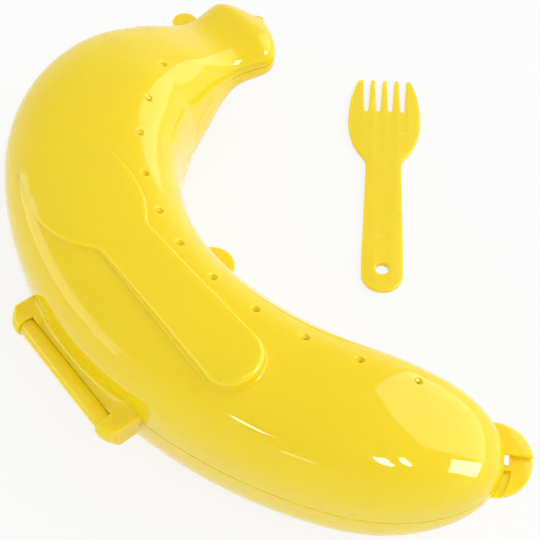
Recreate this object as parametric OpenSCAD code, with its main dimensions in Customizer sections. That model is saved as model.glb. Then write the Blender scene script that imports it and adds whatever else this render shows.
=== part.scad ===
// Banana carrying case: two hinged half shells, and a small fork that stows under the lid's raised pad.
// The spine of the case crosses the origin in plan, and the case rests on the plane z = 0.
// X runs along the hinge towards the tail, Y points to the hollow side of the bend, Z points up.
// All sizes are in millimetres and all turns in degrees.

/* [Spine] */
// Bend radius beside the hinge
mid_r = 94; // [80:1:110]
// Turn of the bend beside the hinge, on the tail side
mid_tail_turn = 8; // [4:1:14]
// Turn of the bend beside the hinge, on the stem side
mid_stem_turn = 33; // [28:1:38]
// Bend radius along the tail
tail_r = 122; // [100:1:150]
// Turn along the tail
tail_turn = 33; // [26:1:38]
// Bend radius of the last stretch before the tail's tip
tip_r = 900; // [300:50:2000]
// Bend radius at the neck
neck_r = 50; // [44:1:60]
// Turn at the neck
neck_turn = 48; // [40:1:54]
// Bend radius of the stem
stem_r = 210; // [150:10:300]
// Length of the spine from the hinge to the tail's tip
tail_length = 106; // [95:0.5:115]
// Length of the spine from the hinge to the stem's tip
stem_length = 146.6; // [140:0.1:155]

/* [Sections] */
// Half width, lid height and base depth at the hinge
middle_size = [23.8, 24.9, 27.6]; // [15:0.1:35]
// Half width, lid height and base depth at the thickest part of the bend
bend_size = [26.6, 26.7, 27.8]; // [15:0.1:35]
// Half width, lid height and base depth at the crown of the neck
crown_size = [24.7, 24.6, 26.7]; // [15:0.1:35]
// Half width, lid height and base depth at the shoulder
shoulder_size = [19.2, 17.9, 19.8]; // [10:0.1:30]
// Half width, lid height and base depth at the waist below the stem
waist_size = [13.9, 9.0, 10.0]; // [6:0.1:20]
// Half width, lid height and base depth of the stem
stem_size = [16.2, 9.0, 7.8]; // [6:0.1:20]
// Half width, lid height and base depth along the tail
tail_size = [22.0, 21.8, 22.4]; // [12:0.1:30]
// Half width, lid height and base depth that the tail's round end closes from
tip_size = [21.8, 21.0, 19.0]; // [12:0.1:30]
// Distance along the spine from the hinge to the thickest part of the bend
bend_at = 62; // [56:1:68]
// Distance along the spine from there to the crown of the neck
crown_step = 24; // [20:1:28]
// Distance along the spine from the crown to the shoulder
shoulder_step = 20; // [16:1:24]
// Distance along the spine from the shoulder to the waist
waist_step = 18; // [15:1:22]
// Distance along the spine from the waist to the stem
stem_step = 14; // [11:1:17]
// Distance along the spine from the hinge to the tail section
tail_at = 67; // [58:1:76]
// Roundness of the sections: 2 is an ellipse, more is squarer
section_power = 2.8; // [2:0.1:4]
// Length of the tail's rounded end
tail_cap = 41; // [30:0.5:50]
// Length of the stem's rounded end
stem_cap = 10; // [6:0.5:14]
// How far the stem's end slants back towards the outer side, as a share of the distance across it
stem_slant = 0.125; // [0:0.005:0.2]
// Share of the stem's height that its end loses
stem_droop = 0.5; // [0.2:0.05:0.8]
// Roundness of both ends in plan
end_power = 2.1; // [2:0.1:3]
// How far the round underside is cut flat to stand on
foot_cut = 0.8; // [0.4:0.1:1.5]

/* [Shells] */
// Wall of both shells
wall = 2.0; // [1.6:0.1:3]
// Open seam between the two rims
seam = 0.25; // [0.2:0.05:0.5]
// Wall left outside the lid's rebate
skin = 0.8; // [0.6:0.1:1.2]
// Side clearance between the base's lip and the lid's rebate
lip_gap = 0.3; // [0.25:0.05:0.5]
// Height of the base's lip above the seam
lip_height = 1.8; // [1:0.1:3]
// Step from the base's inner wall to the lip
lip_step = 0.1; // [0.05:0.05:0.2]

/* [Hinge] */
// Distance from the hinge axis to the wall of the case
hinge_offset = 4.1; // [3.7:0.1:5]
// Radius of the hinge bar on the base
bar_r = 2.75; // [2:0.05:2.8]
// Length of the hinge bar between the lid's ears
bar_length = 38; // [30:1:46]
// Radius of the stub at each end of the bar
stub_r = 1.5; // [1.2:0.1:1.8]
// Length of each stub
stub_length = 3.0; // [2:0.1:4]
// Running clearance of a stub in its socket
stub_clear = 0.06; // [0.04:0.01:0.1]
// Width of each ear of the lid
ear_w = 6.0; // [5:0.1:8]
// Radius of an ear about the hinge axis
ear_r = 3.5; // [3.2:0.1:4]
// Corner rounding of the ears in plan
ear_round = 4.0; // [1:0.1:5]
// Clearance of an ear's lower corner from the base's wall as the lid turns
ear_clear = 0.5; // [0.4:0.05:0.8]
// End gap between bar and ear, and gap between the base's rim and the web under the bar
bar_gap = 0.5; // [0.3:0.05:0.8]
// Gap between the bar and the cove of the lid beside it
cove_gap = 0.4; // [0.3:0.05:0.8]
// Height of the cove's straight edge beside the bar
cove_edge = 1.0; // [0.6:0.1:2]
// Height over which the cove then rises into the wall of the lid
cove_rise = 4.5; // [3:0.1:5]
// How far the cove runs into that wall
cove_root = 0.6; // [0.4:0.05:0.7]

/* [Fork] */
// Length of the fork
fork_length = 94; // [80:1:105]
// Thickness of the fork
fork_t = 2.0; // [1.6:0.1:2.5]
// Width of the handle at its round end
handle_w = 13.5; // [11:0.1:16]
// Width of the handle at the neck
handle_neck_w = 12.0; // [10:0.1:14]
// Width of the head
head_w = 25.4; // [20:0.1:30]
// Distance from the handle's end to the widest part of the head
head_at = 74; // [66:0.5:80]
// Length over which the head narrows to the handle
head_back = 21; // [16:0.5:26]
// Length over which the head narrows past the tips
head_front = 29; // [24:0.5:36]
// Softness of the corner between handle and head
neck_soft = 1.5; // [0.8:0.1:2.5]
// Number of slots between the tines
slot_count = 4; // [2:1:5]
// Spacing of the slots
slot_pitch = 4.3; // [3.5:0.1:5]
// Length of the tines
tine_length = 15.7; // [10:0.1:20]
// Width of a slot at its root
slot_w = 1.3; // [1:0.1:1.8]
// Width of a slot at the tips
slot_tip_w = 2.8; // [1.8:0.1:3]
// Corner cut of the outer tines
tip_cut = 1.0; // [0.5:0.1:1.5]
// Rounding of the tines' tips
tip_round = 0.45; // [0.2:0.05:0.5]
// Diameter of the hole in the handle
hole_d = 4.4; // [3:0.1:6]
// Distance of the hole from the handle's end
hole_at = 8.5; // [6:0.1:11]
// Where the fork's round end lies on the table
fork_lies_at = [21, 70.9]; // [-60:0.1:120]
// Direction in which the fork lies on the table
fork_turn = 137.2; // [120:0.1:150]

/* [Fork pad] */
// Height of the pad above the lid at the handle's end
pad_rise = 3.8; // [3:0.1:5]
// Height of the pad above the lid where the handle meets the head
pad_neck_rise = 1.2; // [0.8:0.1:2]
// Height of the pad above the lid at the widest part of the head
pad_head_rise = 0.7; // [0.4:0.1:1.2]
// Depth below the lid's surface at which the pad ends past the tips
pad_tip_sink = 0.8; // [0.5:0.1:1.5]
// Roof thickness over the fork's pocket at the handle's end
pad_roof = 1.4; // [1.1:0.1:2]
// Wall around the fork's pocket
pad_wall = 1.2; // [1:0.1:2]
// Clearance of the pocket around the fork
pocket_gap = 0.25; // [0.2:0.05:0.5]
// Rounding of the pad's upper edge
pad_round = 1.5; // [0.6:0.1:1.6]
// Where the fork's round end stows, along the hinge
pad_at = 43.0; // [38:0.5:48]
// Offset of the pad from the spine at the hinge
pad_offset = 1.8; // [0:0.1:4]
// Fall of the stowed fork towards its tips
pad_tilt = 2.4; // [2:0.1:3]

/* [Vents] */
// Radius of a vent hole
vent_r = 1.0; // [0.8:0.1:1.5]
// Vents on the tail side of the middle one
vent_tail_count = 5; // [3:1:5]
// Vents on the stem side of the middle one
vent_stem_count = 5; // [3:1:5]
// Distance along the spine of the middle vent, towards the stem
vent_mid = 2.0; // [0:0.1:6]
// Spacing of the vents along the spine on the tail side
vent_pitch = 16.6; // [14:0.1:18]
// Spacing of the vents along the spine on the stem side
vent_stem_pitch = 13.4; // [12:0.1:15]
// Growth of that spacing around the neck
vent_growth = 1.08; // [0.8:0.01:1.2]
// Share of the half width at which the vents run beside the hinge
vent_share = 0.55; // [0.4:0.01:0.65]
// Share of the half width at which they run at the thick part of the bend
vent_bend_share = 0.62; // [0.4:0.01:0.7]
// Share of the half width at which they run at the neck
vent_neck_share = 0.46; // [0.3:0.01:0.6]
// Share of the half width towards which they run at the tail's tip
vent_tail_share = 0.475; // [0.35:0.005:0.6]

/* [Finger tabs] */
// Thickness of the tabs at the seam
tab_t = 1.5; // [1.2:0.1:2.6]
// Radius of the tab in the hollow of the bend
inner_tab_r = 6.8; // [5:0.1:9]
// Distance along the spine of that tab, towards the stem
inner_tab_at = 5; // [0:0.5:12]
// Radius of the tab beside the stem
neck_tab_r = 4.2; // [3.5:0.1:7]
// Distance along the spine of that tab
neck_tab_at = 127; // [120:0.5:130]
// How far the middle of that tab stands out of the wall
neck_tab_out = 4.2; // [0:0.1:6]
// Radius of the split tab at the tail
tail_tab_r = 10.1; // [8:0.1:13]
// Distance of its middle from the tail's tip
tail_tab_in = 2.6; // [0:0.1:5]
// Distance of its middle from the spine, towards the hollow of the bend
tail_tab_aside = 1.5; // [0:0.1:3]
// Distance of its split from its middle, towards the hollow of the bend
tail_split = 1.5; // [0:0.1:3]
// How far the base's half runs on under the lid's half
tail_lap = 0.8; // [0.4:0.1:1.5]
// Width of the groove between the tail's end and its tab
groove_w = 2.0; // [1.5:0.1:2.5]
// Material left on the tail's wall beside the groove
groove_land = 0.2; // [0.1:0.05:0.5]
// Depth of that groove
groove_depth = 0.8; // [0.5:0.1:1.4]
// Length of the slit right through the base's half, from the split
slit_length = 2.5; // [1.5:0.1:5]
// Width of that slit
slit_w = 1.3; // [0.8:0.1:2]
// Width of the ledge of the base at the stem's end
stem_tab_w = 7.5; // [5:0.1:10]
// How far the middle of the ledge's edge stands beyond the stem's tip
stem_tab_out = 1.6; // [0:0.1:3]
// Distance of the middle of that edge from the spine, towards the outer side
stem_tab_aside = 8.2; // [4:0.1:12]
// Turn of that edge against the stem's end
stem_tab_turn = 36; // [20:1:45]

/* [Hidden] */
$fn = 48;

case_yellow = [0.95, 0.83, 0.16];
fork_yellow = [0.96, 0.86, 0.22];

parting_z = middle_size[2] - foot_cut;
base_z = parting_z - seam;
hinge_y = -(middle_size[0] + hinge_offset);
ear_x = bar_length / 2 + bar_gap;
lip_inset = skin + lip_gap;
rebate_z = parting_z + lip_height + lip_gap;
pocket_floor_z = parting_z + middle_size[1] / 2;
tail_tab_at = tail_length - tail_tab_in;
handle_r = handle_w / 2;
// Cutting tools reach this far past the face they open
reach = 1;
// A height below everything that is cut away to stand on the table
under_table = -middle_size[2];

body_rings = 36;
cap_rings = 7;
ring_steps = 22;
cap_sweep = 86;
flare_steps = 22;
round_steps = 4;
cove_steps = 6;
// Columns of points across the pad, as shares of its half width
pad_columns = [1, 0.6, 0.2, -0.2, -0.6, -1];

stations = [
    concat(-(bend_at + crown_step + shoulder_step + waist_step + stem_step), stem_size),
    concat(-(bend_at + crown_step + shoulder_step + waist_step), waist_size),
    concat(-(bend_at + crown_step + shoulder_step), shoulder_size),
    concat(-(bend_at + crown_step), crown_size),
    concat(-bend_at, bend_size),
    concat(0, middle_size),
    concat(tail_at, tail_size),
    concat(max(tail_length, tail_at + reach), tip_size)
];
last_station = len(stations) - 1;
roof_z = lid_top(pad_at, pad_offset) + pad_rise - pad_roof;

base();
lid();
fork();

// Spine: a chain of three arcs each way from the hinge, as position and heading
function turn_of(length, r) = length / r * 180 / PI;
function length_of(turn, r) = turn * r * PI / 180;
function arc_on(p, r, turn) = [
    p.x + r * (sin(p.z + turn) - sin(p.z)),
    p.y + r * (cos(p.z) - cos(p.z + turn)),
    p.z + turn
];
function chain(s, r1, turn1, r2, turn2, r3) =
    let (
        l1 = length_of(turn1, r1),
        l2 = length_of(turn2, r2),
        p1 = arc_on([0, 0, 0], r1, turn_of(min(s, l1), r1)),
        p2 = arc_on(p1, r2, turn_of(min(max(s - l1, 0), l2), r2))
    )
    arc_on(p2, r3, turn_of(max(s - l1 - l2, 0), r3));
function mirrored(p) = [-p.x, p.y, -p.z];
function spine(s) = s >= 0
    ? chain(s, mid_r, mid_tail_turn, tail_r, tail_turn, tip_r)
    : mirrored(chain(-s, mid_r, mid_stem_turn, neck_r, neck_turn, stem_r));
// Plan point at a distance along the spine and an offset towards the hollow of the bend
function beside(s, offset) =
    let (p = spine(s))
    [p.x - sin(p.z) * offset, p.y + cos(p.z) * offset];

// Plan point of a section: the stem's end slants back towards its outer side
function section_point(s, offset, w, inset) =
    let (p = spine(s), back = stem_slant * (w - offset) * stem_u(s, inset))
    beside(s, offset) + back * [cos(p.z), sin(p.z)];

// Sizes between the stations: a cubic whose slopes come from the neighbours
function slope(i, k) = i == 0 || i == last_station
    ? 0
    : (stations[i + 1][k] - stations[i - 1][k]) / (stations[i + 1][0] - stations[i - 1][0]);
function station_before(s) = max([for (i = [0 : last_station - 1]) if (i == 0 || stations[i][0] <= s) i]);
function unit(u) = min(max(u, 0), 1);
function size_at(s, k) =
    let (
        i = station_before(s),
        a = stations[i],
        b = stations[i + 1],
        d = b[0] - a[0],
        u = unit((s - a[0]) / d),
        v = 1 - u
    )
    (1 + 2 * u) * v * v * a[k] + u * v * v * d * slope(i, k)
    + (1 + 2 * v) * u * u * b[k] - u * u * v * d * slope(i + 1, k);

// Rounded ends: an inset surface has its ends pulled in by the same inset
function tail_u(s, inset) = unit((s - tail_length + tail_cap) / (tail_cap - inset));
function stem_u(s, inset) = unit((-s - stem_length + stem_cap) / (stem_cap - inset));
function end_round(u) = pow(1 - pow(u, end_power), 1 / end_power);
function half_width(s, inset) =
    (size_at(s, 1) - inset) * end_round(tail_u(s, inset)) * end_round(stem_u(s, inset));
function height(s, inset, k) =
    (size_at(s, k) - inset) * end_round(tail_u(s, inset))
    * (1 - stem_droop * pow(stem_u(s, inset), end_power));
function stops(inset) = concat(
    [for (i = [cap_rings : -1 : 1])
        -(stem_length - stem_cap) - (stem_cap - inset) * sin(cap_sweep * i / cap_rings)],
    [for (i = [0 : body_rings])
        -(stem_length - stem_cap) + (stem_length - stem_cap + tail_length - tail_cap) * i / body_rings],
    [for (i = [1 : cap_rings])
        tail_length - tail_cap + (tail_cap - inset) * sin(cap_sweep * i / cap_rings)]
);
function signed_pow(v, e) = sign(v) * pow(abs(v), e);
// One half section; spill carries its open side past the parting plane, and no point lies below low
function ring(s, inset, k, z, up, spill, low) =
    let (
        w = half_width(s, inset),
        h = height(s, inset, k),
        e = 2 / section_power
    )
    concat(
        spill > 0 ? [concat(section_point(s, w, w, inset), z - up * spill)] : [],
        [for (j = [0 : ring_steps])
            let (phi = 180 * j / ring_steps)
            concat(
                section_point(s, w * signed_pow(cos(phi), e), w, inset),
                max(low, z + up * h * pow(sin(phi), e))
            )],
        spill > 0 ? [concat(section_point(s, -w, w, inset), z - up * spill)] : []
    );
function rim(inset) =
    let (at = stops(inset), n = len(at))
    concat(
        [for (s = at) let (w = half_width(s, inset)) section_point(s, w, w, inset)],
        [for (i = [n - 1 : -1 : 0]) let (w = half_width(at[i], inset)) section_point(at[i], -w, w, inset)]
    );

module loft(rings, up) {
    n = len(rings[0]);
    m = len(rings);
    points = [for (r = rings) each r];
    sides = [
        for (i = [0 : m - 2], j = [0 : n - 1])
            let (a = i * n + j, b = i * n + (j + 1) % n, c = a + n, d = b + n)
            each up > 0 ? [[a, c, d], [a, d, b]] : [[a, d, c], [a, b, d]]
    ];
    first = [for (j = [0 : n - 1]) up > 0 ? j : n - 1 - j];
    last = [for (j = [0 : n - 1]) (m - 1) * n + (up > 0 ? n - 1 - j : j)];
    polyhedron(points, concat(sides, [first, last]), convexity = 8);
}

// Half body of the case; k picks the lid's or the base's height, up is 1 for the lid and -1 for the base
module half_body(inset, k, z, up, spill = 0, low = under_table) {
    loft([for (s = stops(inset)) ring(s, inset, k, z, up, spill, low)], up);
}

module rim_prism(inset, z_low, z_high) {
    translate([0, 0, z_low])
        linear_extrude(z_high - z_low)
            polygon(rim(inset));
}

// Fork outline: a tapered handle and an oval head joined by a soft corner
function handle_half(x) = x < handle_r
    ? sqrt(max(0, handle_r * handle_r - pow(handle_r - x, 2)))
    : handle_r + (handle_neck_w - handle_w) / 2 * unit((x - handle_r) / (head_at - head_back - handle_r));
function head_half(x) =
    let (u = (x - head_at) / (x < head_at ? head_back : head_front))
    head_w / 2 * sqrt(max(0, 1 - u * u));
function soft_max(a, b) = (a + b + sqrt(pow(a - b, 2) + neck_soft * neck_soft)) / 2;
function fork_half(x) = x < handle_r * 2 ? handle_half(x) : soft_max(handle_half(x), head_half(x));
flare_from = head_at - head_back - 2 * neck_soft;
fork_side = concat(
    [for (a = [0 : 15 : 90]) let (x = handle_r * (1 - cos(a))) [x, fork_half(x)]],
    [for (i = [0 : flare_steps])
        let (x = flare_from + (fork_length - tip_cut / 2 - flare_from) * i / flare_steps)
        [x, fork_half(x)]],
    [[fork_length, fork_half(fork_length) - tip_cut]]
);
fork_last = len(fork_side) - 1;
function along(i) = fork_side[min(i + 1, fork_last)] - fork_side[max(i - 1, 0)];
function outward(i) = i == 0
    ? [-1, 0]
    : i == fork_last ? [1, 0] : [-along(i).y, along(i).x] / norm(along(i));
// Closed outline around the fork at a distance, starting at the handle's end
function fork_ring(d) =
    let (upper = [for (i = [0 : fork_last]) fork_side[i] + d * outward(i)])
    concat(upper, [for (i = [fork_last : -1 : 1]) [upper[i].x, -upper[i].y]]);

module fork_slot() {
    polygon([
        [fork_length - tine_length, -slot_w / 2],
        [fork_length + reach, -slot_tip_w / 2],
        [fork_length + reach, slot_tip_w / 2],
        [fork_length - tine_length, slot_w / 2]
    ]);
}

module fork_plan() {
    difference() {
        offset(r = tip_round, $fn = 16)
            offset(delta = -tip_round)
                difference() {
                    polygon(fork_ring(0));
                    for (i = [0 : slot_count - 1])
                        translate([0, (i - (slot_count - 1) / 2) * slot_pitch])
                            fork_slot();
                }
        translate([hole_at, 0])
            circle(d = hole_d);
    }
}

module stowed() {
    translate([pad_at, pad_offset, roof_z])
        rotate([0, pad_tilt, 180])
            children();
}

// Height of the lid's dome at a plan point, on the bend beside the hinge
function lid_top(x, y) =
    let (
        s = length_of(atan2(x, mid_r - y), mid_r),
        q = abs(mid_r - norm([x, mid_r - y])) / half_width(s, 0)
    )
    parting_z + height(s, 0, 2) * pow(max(0, 1 - pow(q, section_power)), 1 / section_power);
// Rise of the pad above the dome at a distance from the handle's end
function pad_lift(x) = lookup(x, [
    [0, pad_rise],
    [head_at - head_back, pad_neck_rise],
    [head_at, pad_head_rise],
    [fork_length, -pad_tip_sink]
]);
function on_pad(p, drop) =
    let (x = pad_at - p.x, y = pad_offset - p.y)
    [x, y, lid_top(x, y) + pad_lift(p.x) - drop];

// Pad over the pocket: it follows the dome, and its upper edge is rounded in steps
module pad_block() {
    out = pocket_gap + pad_wall;
    n = 2 * fork_last + 1;
    foot = [for (p = fork_ring(out)) [pad_at - p.x, pad_offset - p.y, pocket_floor_z]];
    layers = [
        for (i = [0 : round_steps])
            let (a = 90 * i / round_steps)
            [for (p = fork_ring(out - pad_round * (1 - cos(a)))) on_pad(p, pad_round * (1 - sin(a)))]
    ];
    edge = fork_ring(out - pad_round);
    columns = len(pad_columns);
    inner = [
        for (i = [1 : fork_last], c = [1 : columns - 2])
            on_pad([edge[i].x, edge[i].y * pad_columns[c]], 0)
    ];
    m = round_steps + 2;
    top = (m - 1) * n;
    sides = [
        for (k = [0 : m - 2], j = [0 : n - 1])
            let (a = k * n + j, b = k * n + (j + 1) % n, c = a + n, d = b + n)
            each [[a, b, d], [a, d, c]]
    ];
    rows = [
        for (i = [1 : fork_last]) [
            for (c = [0 : columns - 1])
                c == 0 ? top + i
                : c == columns - 1 ? top + n - i
                : m * n + (i - 1) * (columns - 2) + c - 1
        ]
    ];
    roof = [
        for (i = [0 : fork_last - 2], c = [0 : columns - 2])
            each [[rows[i][c], rows[i + 1][c], rows[i + 1][c + 1]], [rows[i][c], rows[i + 1][c + 1], rows[i][c + 1]]]
    ];
    round_end = [for (c = [0 : columns - 2]) [top, rows[0][c], rows[0][c + 1]]];
    last = rows[fork_last - 1];
    tip_end = [for (c = [1 : columns - 2]) [last[0], last[c + 1], last[c]]];
    under = [
        for (i = [0 : fork_last - 1])
            let (v = i + 1, w = n - i - 1, x = (n - i) % n)
            each i == 0 ? [[i, w, v]] : [[i, w, v], [i, x, w]]
    ];
    points = concat(foot, [for (l = layers) each l], inner);
    polyhedron(points, concat(sides, roof, round_end, tip_end, under), convexity = 6);
}

module pocket() {
    translate([0, 0, pocket_floor_z - roof_z])
        linear_extrude(roof_z - pocket_floor_z)
            polygon(fork_ring(pocket_gap));
}

function vent_spine(i) = i >= 0
    ? i * vent_pitch - vent_mid
    : i * vent_stem_pitch - vent_growth * i * i - vent_mid;
// Share of the half width at which a vent lies
function vent_share_at(s) = lookup(s, [
    [-(bend_at + crown_step + shoulder_step / 2), vent_neck_share],
    [-(bend_at + crown_step / 2), vent_bend_share],
    [0, vent_share],
    [tail_length, vent_tail_share]
]);
module vents() {
    for (i = [-vent_stem_count : vent_tail_count]) {
        s = vent_spine(i);
        translate(concat(beside(s, vent_share_at(s) * half_width(s, 0)), pocket_floor_z))
            cylinder(r = vent_r, h = size_at(s, 2), $fn = 16);
    }
}

// Y of the case's wall beside the hinge
function wall_y(x) =
    let (turn = asin(x / (mid_r + middle_size[0])))
    mid_r - (mid_r + half_width(length_of(turn, mid_r), 0)) * cos(turn);
// How far an ear reaches back below the seam and still clears the base's wall as the lid turns
function ear_back(x) = sqrt(max(0, pow(wall_y(x) - hinge_y - ear_clear, 2) - ear_r * ear_r));

// Ear of the lid around one stub: side is 1 towards the tail and -1 towards the stem
module hinge_ear(side) {
    mirror([side > 0 ? 0 : 1, 0, 0])
        intersection() {
            translate([0, hinge_y, parting_z]) {
                translate([ear_x, 0, 0])
                    rotate([0, 90, 0])
                        cylinder(r = ear_r, h = ear_w);
                translate([0, 0, -ear_r])
                    linear_extrude(2 * ear_r)
                        polygon([
                            [ear_x, 0],
                            [ear_x + ear_w, 0],
                            [ear_x + ear_w, ear_back(side * (ear_x + ear_w))],
                            [ear_x, ear_back(side * ear_x)]
                        ]);
                translate([ear_x, 0, seam])
                    cube([ear_w, hinge_offset + ear_w, ear_r - seam]);
            }
            translate([0, 0, parting_z - 2 * ear_r])
                linear_extrude(4 * ear_r)
                    hull() {
                        translate([ear_x + ear_w - ear_round, hinge_y - ear_r + ear_round])
                            circle(r = ear_round);
                        translate([ear_x, hinge_y - ear_r])
                            square([ear_w - ear_round, ear_r]);
                        translate([ear_x, hinge_y])
                            square([ear_w, hinge_offset + ear_w]);
                    }
        }
}

// Cove between the bar and the lid's wall, from ear to ear
function cove_ring(x) =
    let (near = hinge_y + bar_r + cove_gap, far = wall_y(x) + cove_root)
    concat(
        [[x, far, parting_z], [x, near, parting_z]],
        [for (a = [0 : 15 : 90])
            [x, near + (far - near) * sin(a), parting_z + cove_edge + cove_rise * (1 - cos(a))]]
    );
module cove() {
    half = ear_x + ear_w / 2;
    loft([for (i = [-cove_steps : cove_steps]) cove_ring(half * i / cove_steps)], -1);
}

module hinge_arms() {
    cove();
    hinge_ear(1);
    hinge_ear(-1);
}

module sockets() {
    for (side = [-1, 1])
        translate([side * (ear_x - reach), hinge_y, parting_z])
            rotate([0, side * 90, 0])
                cylinder(r = stub_r + stub_clear, h = reach + stub_length + bar_gap);
}

module hinge_bar() {
    translate([-bar_length / 2, hinge_y, parting_z])
        rotate([0, 90, 0])
            cylinder(r = bar_r, h = bar_length);
    translate([-ear_x - stub_length, hinge_y, parting_z])
        rotate([0, 90, 0])
            cylinder(r = stub_r, h = 2 * (ear_x + stub_length));
    translate([-bar_length / 2, hinge_y, parting_z - bar_r])
        cube([bar_length, hinge_offset + ear_w, bar_r - bar_gap]);
}

module lid_tabs() {
    translate(concat(beside(-inner_tab_at, half_width(-inner_tab_at, 0)), parting_z))
        cylinder(r = inner_tab_r, h = tab_t);
    hull()
        for (out = [0, neck_tab_out])
            translate(concat(beside(-neck_tab_at, -half_width(-neck_tab_at, 0) - out), parting_z))
                cylinder(r = neck_tab_r, h = tab_t);
    tail_half(1, parting_z);
}

// Half of the tail's split tab: side is 1 for the lid's half and -1 for the base's
module tail_half(side, z) {
    from = side > 0 ? tail_split : tail_split + tail_lap - 2 * tail_tab_r;
    translate(concat(beside(tail_tab_at, tail_tab_aside), z))
        rotate([0, 0, spine(tail_tab_at).z])
            intersection() {
                cylinder(r = tail_tab_r, h = tab_t);
                translate([-tail_tab_r, from, -reach])
                    cube([2 * tail_tab_r, 2 * tail_tab_r, tab_t + 2 * reach]);
            }
}

// Ledge of the base at the stem's end
module stem_tab() {
    p = spine(-stem_length);
    translate([p.x, p.y, base_z - tab_t])
        rotate([0, 0, p.z])
            translate([-stem_tab_out, -stem_tab_aside, 0])
                rotate([0, 0, stem_tab_turn])
                    translate([0, -stem_tab_w / 2, 0])
                        cube([stem_tab_w, stem_tab_w, tab_t]);
}

// Outer side of the tail's round end, drawn from the middle of the end
function tail_edge(inset) = [
    for (i = [floor(cap_rings / 2) : cap_rings])
        let (s = tail_length - tail_cap + (tail_cap - inset) * sin(cap_sweep * i / cap_rings))
        beside(s, -half_width(s, inset))
];

module tail_groove() {
    far = tail_edge(-groove_w);
    near = tail_edge(-groove_land);
    n = len(near);
    translate([0, 0, base_z - groove_depth])
        linear_extrude(groove_depth + reach)
            polygon(concat(far, [for (i = [n - 1 : -1 : 0]) near[i]]));
    p = spine(tail_length);
    translate([p.x, p.y, base_z - tab_t - reach])
        rotate([0, 0, p.z])
            translate([groove_land, tail_tab_aside + tail_split - slit_length, 0])
                cube([slit_w, slit_length + tail_lap + reach, tab_t + 2 * reach]);
}

module lid() {
    color(case_yellow)
        difference() {
            union() {
                half_body(0, 2, parting_z, 1);
                pad_block();
                hinge_arms();
                lid_tabs();
            }
            half_body(wall, 2, parting_z, 1, reach);
            rim_prism(skin, parting_z - reach, rebate_z);
            stowed() pocket();
            vents();
            sockets();
        }
}

module base() {
    color(case_yellow) {
        difference() {
            union() {
                half_body(0, 3, base_z, -1);
                hinge_bar();
                tail_half(-1, base_z - tab_t);
                stem_tab();
            }
            half_body(wall, 3, base_z, -1, reach, wall);
            tail_groove();
            translate([-2 * stem_length, -2 * stem_length, under_table])
                cube([4 * stem_length, 4 * stem_length, -under_table]);
        }
        difference() {
            rim_prism(lip_inset, base_z - lip_height / 2, parting_z + lip_height);
            rim_prism(wall - lip_step, base_z - lip_height, parting_z + lip_height + reach);
        }
    }
}

module fork() {
    color(fork_yellow)
        translate(concat(fork_lies_at, 0))
            rotate([0, 0, fork_turn])
                linear_extrude(fork_t)
                    fork_plan();
}
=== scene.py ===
"""Banana carrying case with its fork: the looks of the part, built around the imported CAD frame.

Shapes are worked out in millimetres in the part's own frame, as in the part's source, and become metres
only when a mesh is made. X runs along the hinge towards the tail, Y to the hollow of the bend, Z up.
"""
import math

import bmesh
import bpy
import numpy as np
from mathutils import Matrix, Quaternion, Vector
from mathutils.bvhtree import BVHTree


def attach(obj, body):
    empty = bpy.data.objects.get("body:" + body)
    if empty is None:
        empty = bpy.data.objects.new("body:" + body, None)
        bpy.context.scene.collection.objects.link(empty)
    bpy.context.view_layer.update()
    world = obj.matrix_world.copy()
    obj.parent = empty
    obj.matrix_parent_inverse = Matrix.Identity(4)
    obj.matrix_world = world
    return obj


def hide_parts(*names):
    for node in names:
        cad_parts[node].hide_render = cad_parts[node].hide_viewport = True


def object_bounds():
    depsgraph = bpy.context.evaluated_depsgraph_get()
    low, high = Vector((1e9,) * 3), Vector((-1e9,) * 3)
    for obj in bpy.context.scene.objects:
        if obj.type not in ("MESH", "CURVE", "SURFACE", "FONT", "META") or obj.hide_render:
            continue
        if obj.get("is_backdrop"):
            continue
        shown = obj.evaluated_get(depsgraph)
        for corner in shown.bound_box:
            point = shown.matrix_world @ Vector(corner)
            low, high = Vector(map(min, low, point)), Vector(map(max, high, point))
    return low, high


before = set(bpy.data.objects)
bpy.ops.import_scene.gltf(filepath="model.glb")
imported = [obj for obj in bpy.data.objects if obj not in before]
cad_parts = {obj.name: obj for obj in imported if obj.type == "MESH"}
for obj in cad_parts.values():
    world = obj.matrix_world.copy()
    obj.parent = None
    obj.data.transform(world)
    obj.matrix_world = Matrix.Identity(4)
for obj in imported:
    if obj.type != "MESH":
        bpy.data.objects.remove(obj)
cad_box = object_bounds()

MM = 0.001

# Spine of the case: a chain of three arcs each way from the hinge (radius, turn in degrees)
TAIL_CHAIN = ((94.0, 8.0), (122.0, 33.0), (900.0, 90.0))
STEM_CHAIN = ((94.0, 33.0), (50.0, 48.0), (210.0, 90.0))
TAIL_LENGTH = 106.0
STEM_LENGTH = 146.6

# Sections along the spine: place, half width, lid height, base depth
STATIONS = np.array([
    (-138.0, 16.2, 9.0, 7.8),
    (-124.0, 13.9, 9.0, 10.0),
    (-106.0, 19.2, 17.9, 19.8),
    (-86.0, 24.7, 24.6, 26.7),
    (-62.0, 26.6, 26.7, 27.8),
    (0.0, 23.8, 24.9, 27.6),
    (67.0, 22.0, 21.8, 22.4),
    (106.0, 21.8, 21.0, 19.0),
])
WIDTH, LID, BASE = 1, 2, 3
SECTION_POWER = 2.8
TAIL_CAP = 41.0
STEM_CAP = 10.0
STEM_SLANT = 0.125
STEM_DROOP = 0.5
END_POWER = 2.1

# Shells
WALL = 2.0
SEAM = 0.25
SKIN = 0.8
LIP_INSET = 1.1
LIP_HEIGHT = 1.8
LIP_CHAMFER = 0.2
REBATE_DEPTH = 2.1
PARTING_Z = 26.8
BASE_Z = PARTING_Z - SEAM
REBATE_Z = PARTING_Z + REBATE_DEPTH
RIM_ROUND = 0.25
# The smooth surface lies this far inside the corners of the solids' facets
SMOOTH_INSET = 0.06
# A lower limit that never applies
NO_LIMIT = -1e3

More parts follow.
